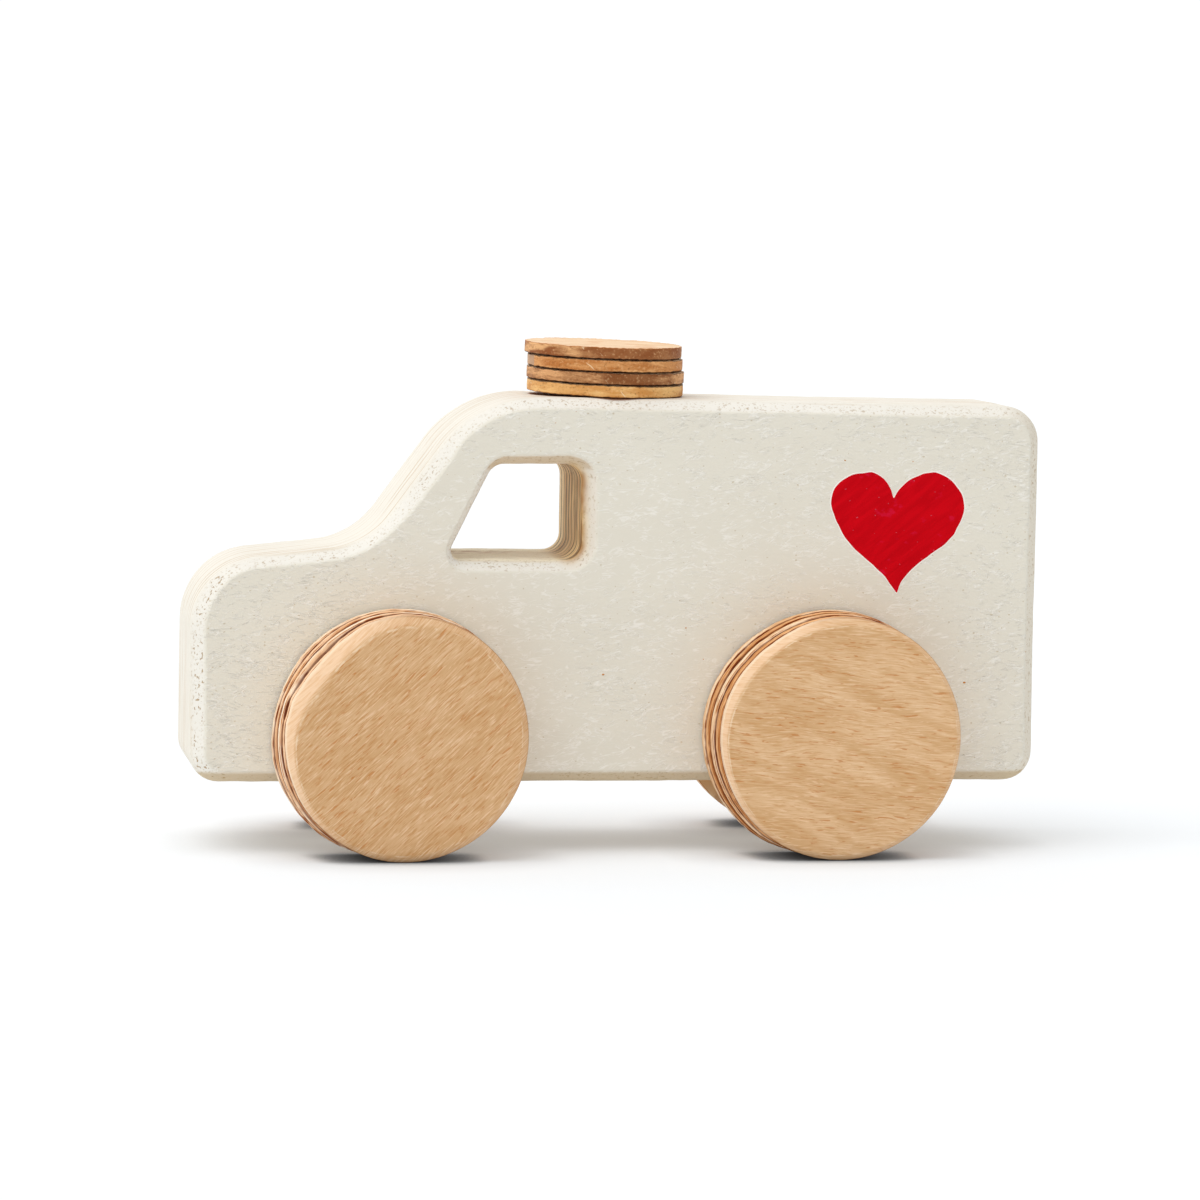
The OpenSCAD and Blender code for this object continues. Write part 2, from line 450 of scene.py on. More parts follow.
    # Pits that the paint did not fill, long along the edge and most at the nose, and specks on the faces
    pores = fade(tree, figure(tree, place, (0.85, 0.42, 0.85), detail=1), 0.615, 0.68)
    patches = fade(tree, figure(tree, place, (7, 7, 7), centre=(0, 0.2, 0), detail=2), 0.38, 0.56)
    patches = larger(tree, times(tree, patches, 0.6), fade(tree, x, -72 * mm, -84 * mm))
    pores = times(tree, pores, on_chamfer, patches)
    pits = fade(tree, figure(tree, place, (0.5, 0.36, 0.5), centre=(0.3, 0, 0), detail=1), 0.60, 0.69)
    pits = times(tree, pits, plus(tree, on_chamfer, sill))
    coat = tint(tree, times(tree, pits, 0.4), coat, shade(192, 170, 126))
    coat = tint(tree, times(tree, pores, 0.8), coat, shade(164, 130, 80))
    specks = fade(tree, figure(tree, place, (1.3, 1.3, 0.8), detail=0), 0.87, 0.885)
    coat = tint(tree, times(tree, specks, on_face), coat, shade(190, 128, 56))
    dots = figure(tree, place, (0.75, 0.75, 0.55), centre=(0, 0, 0.3), detail=0)
    dots = fade(tree, plus(tree, dots, times(tree, coarse, 0.05)), 0.79, 0.83)
    coat = tint(tree, times(tree, dots, on_face, 0.55), coat, shade(190, 172, 138))

    # Brown round the foot of the beacon on the roof: a glue stain, and painted shade in the gap under the
    # beacon
    foot_mark_end = 16.2 * mm
    foot_mark_full = 15.6 * mm
    off_x = less(tree, x, beacon_x)
    reach = plus(tree, times(tree, off_x, off_x), times(tree, y, y))
    foot_stain_and_shade = fade(tree, reach, foot_mark_end ** 2, foot_mark_full ** 2)
    foot_stain_and_shade = times(tree, foot_stain_and_shade, fade(tree, z, 88 * mm, 90 * mm), 0.85)
    coat = tint(tree, foot_stain_and_shade, coat, shade(176, 108, 52))

    rough = larger(tree, on_chamfer, times(tree, coarse, 0.55))
    rough = plus(tree, 0.45, times(tree, rough, 0.6))
    raised = times(tree, fibres, plus(tree, 0.18, times(tree, coarse, 0.30)))
    height = plus(tree, times(tree, tooth, rough), raised)
    height = less(tree, height, times(tree, plus(tree, pores, pits), 0.3))
    height = less(tree, height, times(tree, lines, 0.5))
    finish_off(tree, shader, coat, height, 0.12)
    return material


cream_paint = brushed_paint()
for board_name, board_side in (("body_left_board", -1), ("body_right_board", 1)):
    painted_board = saw_board("painted_" + board_name, board_side)
    painted_board.data.materials.append(cream_paint)
    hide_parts(board_name)
    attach(painted_board, "body")


# Painted hearts: a thin film of red paint on each side face near the tail, put on freehand with a brush
# over white primer that shows as a fine line round the red.
heart_x = 57.4 * mm
heart_z = 65.3 * mm
heart_width = 28.2 * mm
heart_height = 25.4 * mm
heart_points = 150


def heart_outline():
    """Even points round a plump heart with a rounded tip and notch, with an edge that wanders."""
    fine_steps = 1440
    curve = []
    for i in range(fine_steps):
        turn = 2 * math.pi * i / fine_steps
        up = 13 * math.cos(turn) - 5 * math.cos(2 * turn) - 2 * math.cos(3 * turn) - math.cos(4 * turn)
        curve.append(Vector((math.sin(turn) ** 3 * heart_width / 2, (up / 29 + 0.09) * heart_height, 0)))
    lengths = [0.0]
    for here, after in zip(curve, curve[1:] + curve[:1]):
        lengths.append(lengths[-1] + (after - here).length)
    points = []
    i = 0
    for step in range(heart_points):
        while lengths[i + 1] < lengths[-1] * step / heart_points:
            i += 1
        points.append(curve[i])
    smoothing_rounds = 5
    for again in range(smoothing_rounds):
        points = [(before + 2 * here + after) / 4
                  for before, here, after in zip(points[-1:] + points, points, points[1:] + points[:1])]
    wandering = []
    for point in points:
        slip = noise.noise_vector(point / (9 * mm)) * 1.1 * mm
        slip += noise.noise_vector(point / (2.2 * mm)) * 0.2 * mm
        wandering.append(Vector((point.x + slip.x, point.y + slip.y)))
    return wandering


def paint_heart(name, side, spread, rise):
    """A heart-shaped film of paint on a side face, spread past the outline and standing out by rise."""
    sunk = 0.03 * mm
    bpy.ops.object.select_all(action="DESELECT")
    bpy.ops.mesh.primitive_circle_add(vertices=heart_points, radius=heart_width / 2, fill_type="TRIFAN")
    heart = bpy.context.object
    heart.name = name
    heart.data.name = name
    outline = heart_outline()
    for vertex in heart.data.vertices:
        point = Vector((0, 0))
        if vertex.co.length > mm:
            point = outline.pop(0)
            point += point.normalized() * spread
        vertex.co = (heart_x + point.x, side * (board_thickness - sunk), heart_z + point.y)
    bpy.ops.object.mode_set(mode="EDIT")
    select_mesh()
    pull((0, side * (rise + sunk), 0))
    select_mesh()
    bpy.ops.mesh.normals_make_consistent(inside=False)
    bpy.ops.object.mode_set(mode="OBJECT")
    smooth_shading(heart, 30)
    return heart


def heart_paint():
    """Red brush paint: streaks, thin pinker spots and a few bare pin holes."""
    material, tree, shader, place = new_finish("red_paint", roughness=0.5, specular=0.03)
    brush = figure(tree, place, (9, 9, 1.4), slant=-38, detail=3, warp=0.6)
    red = tint(tree, fade(tree, brush, 0.3, 0.7), shade(192, 2, 16), shade(208, 4, 20))
    thin = fade(tree, figure(tree, place, (2.4, 2.4, 1.6), detail=3), 0.62, 0.74)
    red = tint(tree, times(tree, thin, 0.35), red, shade(218, 30, 74))
    holes = fade(tree, figure(tree, place, (0.9, 0.9, 0.6), detail=0), 0.79, 0.82)
    red = tint(tree, times(tree, holes, 0.45), red, shade(232, 110, 130))
    finish_off(tree, shader, red, less(tree, brush, holes), 0.06)
    return material


def primer_paint():
    """White primer under the red, a little streaky."""
    material, tree, shader, place = new_finish("white_primer", roughness=0.6)
    brush = figure(tree, place, (6, 6, 1.2), slant=-38, detail=2)
    white = tint(tree, brush, shade(240, 236, 226), shade(252, 249, 243))
    finish_off(tree, shader, white, brush, 0.04)
    return material


red_paint = heart_paint()
white_primer = primer_paint()
for heart_name, heart_side in (("left_heart", -1), ("right_heart", 1)):
    primer = paint_heart(heart_name + "_primer", heart_side, 0.28 * mm, 0.03 * mm)
    primer.data.materials.append(white_primer)
    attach(primer, "body")
    heart = paint_heart(heart_name, heart_side, 0.0, 0.07 * mm)
    heart.data.materials.append(red_paint)
    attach(heart, "body")


# Axles: plain round dowels of pale wood that turn in the body and are glued into the wheels.
# The frame's own cylinders stay, with the grain running along them.
def dowel_wood():
    """Pale straight-grained wood, its lines along y."""
    material, tree, shader, place = new_finish("dowel_wood", roughness=0.55)
    lines = figure(tree, place, (0.6, 14, 0.6), detail=3, warp=0.4)
    wood = tint(tree, fade(tree, lines, 0.35, 0.65), shade(196, 158, 110), shade(226, 194, 148))
    finish_off(tree, shader, wood, lines, 0.05)
    return material


dowel = dowel_wood()
for axle_name in ("front_axle", "rear_axle"):
    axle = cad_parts[axle_name]
    axle.data.materials.clear()
    axle.data.materials.append(dowel)


# Wheels: five discs of plywood glued in a stack on each axle end. The inner four are drilled for the
# dowel, and the outer one is closed, with a rounded-off chamfer. The saw left their rims ragged.
wheel_radius = 25.0 * mm
ply_thickness = 3.0 * mm
wheel_chamfer = 2.1 * mm
wheel_inner_y = 18.8 * mm
hub_bore = 8.1 * mm
ply_count = 5
rim_edge = 0.22 * mm
rim_steps = 300

# Angle round a near wheel, how far its lip was cut back there in mm and how wide its chamfer is there
front_lip = [
    (60, 0.2, 0.55), (90, 0.35, 0.85), (108, 0.6, 1.1), (120, 1.3, 1.3),
    (133, 1.9, 1.4), (143, 1.8, 1.55), (155, 1.45, 1.45), (163, 0.95, 1.3),
    (180, 0.75, 0.9), (200, 0.6, 0.67), (225, 0.3, 0.5), (255, 0.0, 0.45),
]
rear_lip = [
    (60, 0.4, 0.38), (80, 0.45, 0.65), (95, 0.55, 0.72), (110, 0.8, 0.78),
    (125, 0.85, 0.8), (140, 0.7, 0.8), (155, 0.45, 0.76), (165, 0.3, 0.64),
    (180, 0.2, 0.5), (200, 0.2, 0.42), (230, 0.15, 0.38), (260, 0.1, 0.38),
]
far_lip = [(60, 0.2, 0.6), (150, 0.5, 0.9), (240, 0.1, 0.5)]

# Name, body, axle, side; face grain as its slope in degrees, wave in mm, tan, bands and streaks; swell of
# the lower left rim as its start and full angle and its height in mm; lip; and the open joints, each as
# the joint, its first and last angle and its width in mm
wheels = [
    ("front_left_wheel", "front_wheelset", front_axle_x, -1,
     (43, 1.0, 0.2, 0.5, 0.8), (150, 205, 1.2), front_lip, [
        (3, 94, 130, 0.3),
        (3, 110, 164, 0.5),
        (3, 161, 172, 0.6),
        (3, 173, 212, 0.4),
        (3, 208, 250, 0.3),
        (4, 222, 262, 0.2),
        (2, 60, 130, 0.15),
        (1, 165, 215, 0.2),
    ]),
    ("front_right_wheel", "front_wheelset", front_axle_x, 1,
     (-30, 1.6, 0.1, 0.8, 0.6), (150, 200, -0.3), far_lip, [
        (2, 40, 110, 0.4),
        (4, 200, 250, 0.3),
    ]),
    ("rear_left_wheel", "rear_wheelset", rear_axle_x, -1,
     (-4, 2.6, 0.0, 0.8, 0.5), (112, 185, 1.35), rear_lip, [
        (1, 110, 150, 0.2),
        (2, 112, 168, 0.4),
        (3, 150, 230, 0.2),
        (4, 105, 140, 0.4),
        (2, 180, 240, 0.25),
    ]),
    ("rear_right_wheel", "rear_wheelset", rear_axle_x, 1,
     (12, 2.0, 0.1, 0.8, 0.6), (150, 200, -0.6), far_lip, [
        (1, 300, 350, 0.35),
        (3, 80, 160, 0.35),
    ]),
]


def turn_section(name, section):
    """Spin a half section of (radius, height) points round the z axis."""
    piece = start_drawing(name)
    places = [Vector((radius, 0, height)) for radius, height in section]
    bpy.ops.transform.translate(value=places[0])
    for here, after in zip(places, places[1:]):
        pull(after - here)
    select_mesh()
    bpy.ops.mesh.spin(steps=rim_steps, angle=2 * math.pi, center=(0, 0, 0), axis=(0, 0, 1))
    select_mesh()
    bpy.ops.mesh.remove_doubles(threshold=0.002 * mm)
    bpy.ops.mesh.normals_make_consistent(inside=False)
    bpy.ops.object.mode_set(mode="OBJECT")
    return piece


def rim_points(radius, bottom, top, edge):
    """Section up a rim in three runs: its lower corner, eased by edge, its side and its upper corner."""
    corner = [math.radians(angle) for angle in (0, 30, 60, 90)]
    low = [(radius - edge + edge * math.sin(a), bottom + edge - edge * math.cos(a)) for a in corner]
    rise = [(radius, bottom + edge + (top - bottom - 2 * edge) * i / 8) for i in range(1, 8)]
    high = [(radius - edge + edge * math.cos(a), top - edge + edge * math.sin(a)) for a in corner]
    return low, rise, high


def face_points(inner, outer, height):
    """Section along a flat face, closer together near the rim."""
    gaps = (4.0, 2.8, 2.2, 1.8, 1.4, 1.05, 0.75, 0.5, 0.3, 0.15)
    near_rim = [(outer - gap * mm, height) for gap in gaps]
    return [(inner, height), ((inner + outer) / 2, height)] + near_rim


def copy_piece(piece, name):
    """Copy of a piece with its own mesh."""
    double = piece.copy()
    double.data = piece.data.copy()
    double.name = name
    double.data.name = name
    bpy.context.collection.objects.link(double)
    return double


def ragged(seed, angle, lumps):
    """Even noise round a rim, from about -1 to 1, with the given number of lumps per radian."""
    return 1.4 * noise.noise(Vector((math.cos(angle) * lumps, math.sin(angle) * lumps, 7.3 * seed)))


def gape(stretches, joint, angle, seed):
    """Width in mm by which a joint gapes at an angle."""
    width = 0.0
    for at_joint, first, last, widest in stretches:
        share = (math.degrees(angle) % 360 - first) / (last - first)
        if at_joint == joint and 0 < share < 1:
            uneven = 1 + 0.25 * ragged(seed, angle, 9)
            width = max(width, widest * math.sin(math.pi * share) ** 0.7 * uneven)
    return width


def mark_across(piece, thickness):
    """Keep how far across its thickness each point of a disc lies, for the lines along its joints."""
    marks = piece.data.attributes.new("across", "FLOAT", "POINT")
    for vertex, mark in zip(piece.data.vertices, marks.data):
        mark.value = vertex.co.z / thickness


def along_lip(lip, degrees):
    """Cut and width of a chamfer at an angle, between the points given round it."""
    rows = [(lip[-1][0] - 360, *lip[-1][1:])] + lip + [(lip[0][0] + 360, *lip[0][1:])]
    for (first, *before), (last, *after) in zip(rows, rows[1:]):
        if first <= degrees <= last:
            share = (degrees - first) / (last - first)
            return [low + (high - low) * share for low, high in zip(before, after)]


def rim_shift(n, degrees, gapes, swell, cut_back):
    """Outward shift in mm of the rim of ply n: swollen at its lower left, set back with the lip."""
    start, full, height = swell
    low_left = ease(degrees, start, full) * ease(degrees, 268, 232)
    swollen = (1.0, 0.85, 0.6, 0.3, 0.0)[n - 1]
    set_back = (0.0, 0.25, 0.5, 1.0, 1.05)[n - 1]
    return swollen * height * low_left - set_back * cut_back - 0.3 * sum(gapes[:n])


def roughen_ply(ply, n, seed, swell, lip, stretches):
    """Make ply n of a wheel ragged: uneven rim, wavy joints that gape in places, and glue in them."""
    marks = ply.data.attributes.new("glue", "FLOAT", "POINT")
    for vertex, mark in zip(ply.data.vertices, marks.data):
        x, y, height = vertex.co
        radius = math.hypot(x, y)
        share = min(1.0, max(0.0, height / ply_thickness))
        mark.value = 1.0 if (share < 0.01 and n > 1) or (share > 0.99 and n < ply_count) else 0.0
        near_rim = ease(radius, wheel_radius - 5 * mm, wheel_radius - 0.9 * mm)
        if near_rim == 0:
            continue
        angle = math.atan2(y, x)
        degrees = math.degrees(angle) % 360
        gapes = [gape(stretches, joint, angle, seed) for joint in range(ply_count)]
        hairs = [0.05 + 0.14 * max(0.0, ragged(seed + 0.31 * joint, angle, 2.5)) for joint in (n - 1, n)]
        waves = [0.22 * ragged(seed + joint, angle, 2.2) for joint in (n - 1, n)]
        lift = 0.0
        if n > 1:
            lift += waves[0] * (1 - share) + max(hairs[0], gapes[n - 1]) / 2 * ease(share, 0.45, 0.0)
        if n < ply_count:
            lift += waves[1] * share - max(hairs[1], gapes[n]) / 2 * ease(share, 0.55, 1.0)
        cut_back, width = along_lip(lip, degrees)
        cut = 0.05 * (2 + ragged(seed + 3.1 * n, angle, 3) + ragged(seed + 5.7 * n, angle, 16))
        cut = max(0.0, cut) * (0.3 if n == ply_count else 1.0)
        outward = rim_shift(n, degrees, gapes, swell, cut_back) - cut
        if n == ply_count and height > 0.3 * mm:
            radius = wheel_radius - (wheel_radius - radius) * width
            height = ply_thickness - (ply_thickness - height) * min(width, 1.1)
        radius += near_rim * outward * mm
        if share > 0.99 and n < ply_count:
            step = radius - wheel_radius - rim_shift(n + 1, degrees, gapes, swell, cut_back) * mm
            spread = (0.08 + 0.75 * gapes[n]) * mm
            mark.value = ease(step, spread, 0.5 * spread)
        vertex.co = (radius * math.cos(angle), radius * math.sin(angle), height + near_rim * lift * mm)


def marked(tree, name):
    """Number that the points of a mesh carry under a name."""
    node = tree.nodes.new("ShaderNodeAttribute")
    node.attribute_name = name
    return node.outputs["Fac"]


def ply_edge(name, light, dark, line):
    """Sawn edge of a ply: streaks along it and brown glue lines at its joints."""
    material, tree, shader, place = new_finish(name, roughness=0.7, specular=0.05)
    off_middle = calc(tree, "ABSOLUTE", less(tree, marked(tree, "across"), 0.5))
    on_rim = fade(tree, off_middle, 0.497, 0.487)
    streaks = figure(tree, place, (9, 1.6, 9), detail=1, warp=0.5)
    wood = tint(tree, fade(tree, streaks, 0.38, 0.62), light, dark)
    mottle = fade(tree, figure(tree, place, (2.6, 1.8, 2.6), centre=(0.2, 0, 0), detail=1), 0.50, 0.70)
    wood = tint(tree, times(tree, mottle, 0.35), wood, line)
    patches = fade(tree, figure(tree, place, (3.5, 2.4, 3.5), detail=1), 0.40, 0.60)
    joint = times(tree, fade(tree, off_middle, 0.36, 0.47), plus(tree, 0.15, patches))
    wood = tint(tree, times(tree, calc(tree, "MINIMUM", joint, 1.0), on_rim), wood, line)
    dried = plus(tree, 0.66, times(tree, patches, 0.3))
    wood = tint(tree, times(tree, marked(tree, "glue"), dried), wood, shade(118, 44, 6))
    finish_off(tree, shader, wood, streaks, 0.08)
    return material


def sway_across(tree, place, direction, cloud, amount):
    """Place shifted along a direction by a cloudy pattern, up to half the amount in mm either way."""
    shift = tree.nodes.new("ShaderNodeVectorMath")
    shift.operation = "SCALE"
    shift.inputs[0].default_value = direction
    join(tree, times(tree, less(tree, cloud, 0.5), amount * mm), shift.inputs["Scale"])
    moved = tree.nodes.new("ShaderNodeVectorMath")
    moved.operation = "ADD"
    join(tree, place, moved.inputs[0])
    join(tree, shift.outputs[0], moved.inputs[1])
    return moved.outputs[0]


def wheel_veneer(name, axle_x, slope, wave, tan, banded, streaked):
    """Outer veneer: short wavy grain flecks, and a pale sanded chamfer with painted light at the left."""
    material, tree, shader, place = new_finish(name, roughness=0.5)
    centre = (axle_x, 0, axle_height)
    lie = math.radians(slope)
    swing = figure(tree, place, (16, 16, 6), centre, -slope, detail=1)
    grain = sway_across(tree, place, (-math.sin(lie), 0, math.cos(lie)), swing, wave)
    bands = figure(tree, grain, (26, 26, 4), centre, 17 - slope, detail=2, warp=0.6)
    bands = times(tree, less(tree, fade(tree, bands, 0.36, 0.64), 0.5), banded)
    wood = tint(tree, plus(tree, 0.5, bands), shade(210, 166, 117), shade(227, 188, 144))
    fine = figure(tree, grain, (3.4, 3.4, 0.26), centre, -slope, detail=3, warp=0.6)
    wood = tint(tree, times(tree, fade(tree, fine, 0.50, 0.66), streaked), wood, shade(198, 144, 86))
    wood = tint(tree, times(tree, fade(tree, fine, 0.47, 0.33), streaked), wood, shade(242, 210, 172))
    wood = tint(tree, tan, wood, shade(190, 140, 88))
    flecks = figure(tree, grain, (3.0, 3.0, 0.30), centre, -slope, detail=1, warp=0.8)
    wood = tint(tree, times(tree, fade(tree, flecks, 0.63, 0.69), 0.65), wood, shade(192, 120, 52))

    middle = tree.nodes.new("ShaderNodeVectorMath")
    middle.operation = "SUBTRACT"
    join(tree, place, middle.inputs[0])
    middle.inputs[1].default_value = centre
    offset = parts(tree, middle.outputs[0])
    left = fade(tree, less(tree, times(tree, offset[2], 0.35), offset[0]), 4 * mm, 20 * mm)

    # The chamfer: paler sanded wood, palest at the left by painted light, with a painted highlight on its
    # inner edge; and its outermost line, a painted highlight at the left and brown elsewhere
    across = marked(tree, "across")
    edge = plus(tree, across, times(tree, less(tree, fine, 0.5), 0.05))
    rim = fade(tree, edge, 0.995, 0.80)
    bare = tint(tree, fade(tree, fine, 0.40, 0.64), shade(242, 207, 171), shade(234, 193, 151))
    # Stronger towards the left, where the chamfer faces the light: painted light
    rim = times(tree, rim, plus(tree, 0.25, times(tree, left, 0.65)))
    wood = tint(tree, rim, wood, bare)
    broken = fade(tree, figure(tree, place, (3.0, 3.0, 3.0), centre, detail=2), 0.48, 0.62)
    # A painted highlight along the chamfer's inner edge
    painted_edge_highlight = times(tree, fade(tree, edge, 0.99, 0.975), fade(tree, edge, 0.925, 0.945))
    painted_edge_highlight = times(tree, painted_edge_highlight, plus(tree, times(tree, broken, 0.3), times(tree, left, 0.12)))
    wood = tint(tree, painted_edge_highlight, wood, shade(254, 234, 204))
    outermost = fade(tree, across, 0.46, 0.34)
    line = tint(tree, left, shade(160, 106, 58), shade(254, 234, 206))
    wood = tint(tree, times(tree, outermost, 0.5), wood, line)
    finish_off(tree, shader, wood, less(tree, 1.0, plus(tree, fine, flecks)), 0.06)
    return material


low, rise, high = rim_points(wheel_radius, 0.0, ply_thickness, rim_edge)
bottom_face = face_points(hub_bore / 2, low[0][0], 0.0)
top_face = face_points(hub_bore / 2, high[-1][0], ply_thickness)[::-1]
drilled_ply = turn_section("drilled_ply", bottom_face + low + rise + high + top_face + bottom_face[:1])
shoulder = [(wheel_radius - inwards, ply_thickness - wheel_chamfer + outwards)
            for inwards, outwards in chamfer_section(wheel_chamfer, heel=1.0 * mm, lip=4.0 * mm, steps=7)]
closed_ply = turn_section("closed_ply", face_points(0.0, low[0][0], 0.0) + low + shoulder
                          + [(shoulder[-1][0] - 0.6 * mm, ply_thickness), (0.0, ply_thickness)])

ply_edges = {
    "front_wheelset": (
        ply_edge("front_pale_ply_edge", shade(255, 236, 210), shade(244, 206, 166), shade(186, 118, 62)),
        ply_edge("front_tan_ply_edge", shade(250, 212, 174), shade(230, 178, 130), shade(172, 102, 50)),
    ),
    "rear_wheelset": (
        ply_edge("rear_pale_ply_edge", shade(252, 226, 192), shade(232, 186, 138), shade(178, 108, 54)),
        ply_edge("rear_tan_ply_edge", shade(236, 184, 132), shade(206, 142, 86), shade(156, 88, 40)),
    ),
}
for wheel_name, wheel_body, axle_x, wheel_side, face_grain, rim_swell, wheel_lip, joints in wheels:
    veneer = wheel_veneer(wheel_name + "_veneer", axle_x, *face_grain)
    pale_edge, tan_edge = ply_edges[wheel_body]
    wheel_seed = wheel_side + axle_x / (10 * mm)
    for n in range(1, ply_count + 1):
        node_name = wheel_name + "_ply_" + str(n)
        ply = copy_piece(closed_ply if n == ply_count else drilled_ply, "sawn_" + node_name)
        mark_across(ply, ply_thickness)
        roughen_ply(ply, n, wheel_seed, rim_swell, wheel_lip, joints)
        inner_y = wheel_side * (wheel_inner_y + (n - 1) * ply_thickness)
        inner_face = Matrix.Translation((axle_x, inner_y, axle_height))
        ply.data.transform(inner_face @ Matrix.Rotation(-wheel_side * math.pi / 2, 4, "X"))
        smooth_shading(ply, 50)
        if n == ply_count:
            ply.data.materials.append(veneer)
        elif n % 2:
            ply.data.materials.append(pale_edge)
        else:
            ply.data.materials.append(tan_edge)
        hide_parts(node_name)
        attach(ply, wheel_body)
bpy.data.objects.remove(drilled_ply)
bpy.data.objects.remove(closed_ply)


# Beacon: four thin wooden discs glued in a leaning stack on the roof. They were sawn by hand, so their
# edges are uneven and mottled, and dark glue joints gape between them.
disc_radius = 16.3 * mm
disc_thickness = 2.45 * mm
disc_pitch = 2.6 * mm
beacon_foot_z = 92.57 * mm
roof_fall = math.radians(0.5)
beacon_lean = math.radians(1.6)
lean_way = math.radians(-50)

# From the roof up: sideways slip of each disc in mm, its edge colours, the first and last angle of its
# chip, and the stretches of its edge that are scorched darker, as middle, half width and strength
beacon_discs = [
    (0.0, shade(242, 194, 126), shade(208, 144, 74), (0, 0), [(240, 14, 0.5), (90, 40, 0.4)]),
    (-0.1, shade(224, 168, 114), shade(130, 74, 32), (40, 58),
     [(284, 28, 0.85), (240, 12, 0.4), (80, 50, 0.6)]),
    (-0.4, shade(232, 172, 110), shade(184, 114, 54), (158, 197),
     [(240, 28, 0.4), (322, 18, 0.5), (120, 40, 0.5)]),
    (-0.75, shade(230, 176, 120), shade(142, 80, 36), (95, 112), [(296, 50, 0.8), (30, 40, 0.5)]),
]


def in_chip(chip, angle):
    """1 inside a chip of a disc's edge, 0 outside it."""
    first, last = chip
    if first == last:
        return 0.0
    slope = 1.2
    degrees = math.degrees(angle + lean_way) % 360
    return ease(degrees, first - slope, first) * ease(degrees, last + slope, last)


def scorch_at(stretches, angle, seed):
    """How dark the saw scorched a disc's edge at an angle, from 0 to 1."""
    degrees = math.degrees(angle + lean_way) % 360
    dark = 0.0
    for middle, half, strength in stretches:
        away = abs((degrees - middle + 180) % 360 - 180) + 12 * ragged(seed, angle, 6)
        dark = max(dark, strength * ease(away, half + 14, half - 14))
    return dark


def roughen_disc(disc, seed, chip, stretches):
    """Uneven sawn edge with broken corners and a shallow chip; the chip and the scorches are marked."""
    marks = disc.data.attributes.new("chip", "FLOAT", "POINT")
    scorches = disc.data.attributes.new("scorch", "FLOAT", "POINT")
    for vertex, mark, scorch in zip(disc.data.vertices, marks.data, scorches.data):
        x, y, height = vertex.co
        radius = math.hypot(x, y)
        near_rim = ease(radius, disc_radius - 2.5 * mm, disc_radius - 0.5 * mm)
        if near_rim == 0:
            continue
        angle = math.atan2(y, x)
        share = height / disc_thickness
        mark.value = in_chip(chip, angle)
        scorch.value = scorch_at(stretches, angle, seed)
        cut = 0.10 * (1 + ragged(seed, angle, 2)) + 0.05 * (1 + ragged(seed + 2.3, angle, 12))
        cut += 0.4 * mark.value
        cut += 0.05 * noise.noise(Vector((x, y, height)) / (0.8 * mm) + Vector((0, 0, seed)))
        scale = 1 - near_rim * max(0.0, cut) * mm / radius
        broken = 0.04 + 0.10 * max(0.0, ragged(seed + 4.1, angle, 5))
        broken += 0.07 * ragged(seed + 6.2, angle, 18)
        broken += 0.05 * ragged(seed + 8.3, angle, 40)
        lift = max(0.0, broken) * mm * (ease(share, 0.4, 0.0) - ease(share, 0.6, 1.0))
        vertex.co.x = x * scale
        vertex.co.y = y * scale
        vertex.co.z = height + near_rim * lift


def sawn_disc(name, light, dark, foot_line, head_line):
    """Hand-sawn wood: mottled on its edge, burnt at the joints, paler with faint grain on its top."""
    material, tree, shader, place = new_finish(name, roughness=0.6)
    across = marked(tree, "across")
    cloud = figure(tree, place, (7, 7, 1.6), detail=3, warp=0.4)
    wood = tint(tree, fade(tree, cloud, 0.36, 0.66), light, dark)
    wood = tint(tree, marked(tree, "scorch"), wood, dark)
    grain = figure(tree, place, (3.0, 3.0, 0.35), slant=12, detail=2, warp=0.5)
    wood = tint(tree, times(tree, fade(tree, grain, 0.50, 0.72), 0.5), wood, dark)
    mottle = figure(tree, place, (0.55, 0.55, 0.45), detail=2)
    wood = tint(tree, times(tree, fade(tree, mottle, 0.56, 0.70), 0.45), wood, shade(128, 76, 34))
    wood = tint(tree, times(tree, fade(tree, mottle, 0.44, 0.30), 0.28), wood, shade(246, 200, 146))
    pale = figure(tree, place, (3.6, 3.6, 0.5), slant=50, detail=1)
    wood = tint(tree, times(tree, fade(tree, pale, 0.74, 0.78), 0.6), wood, shade(250, 222, 180))
    wood = tint(tree, times(tree, marked(tree, "chip"), 0.75), wood, shade(190, 158, 130))

    # Lines along the joints, uneven in width
    uneven = less(tree, figure(tree, place, (1.6, 1.6, 8), detail=3), 0.5)
    uneven = times(tree, uneven, 0.14)
    foot = fade(tree, plus(tree, across, uneven), 0.09, 0.03)
    wood = tint(tree, times(tree, foot, 0.9), wood, foot_line)
    head = fade(tree, less(tree, across, uneven), 0.91, 0.97)
    wood = tint(tree, times(tree, head, 0.9), wood, head_line)

    # The top, where the surface faces up
    top_grain = figure(tree, place, (14, 1.4, 14), detail=3, warp=0.5)
    top = tint(tree, fade(tree, top_grain, 0.35, 0.7), shade(244, 214, 178), shade(226, 182, 132))
    stains = fade(tree, figure(tree, place, (5, 9, 5), centre=(0.1, 0, 0), detail=3), 0.50, 0.66)
    top = tint(tree, times(tree, stains, 0.4), top, shade(220, 158, 98))
    normal = parts(tree, tree.nodes.new("ShaderNodeNewGeometry").outputs["Normal"])
    wood = tint(tree, fade(tree, normal[2], 0.86, 0.97), wood, top)
    finish_off(tree, shader, wood, plus(tree, times(tree, grain, 0.5), mottle), 0.10)
    return material


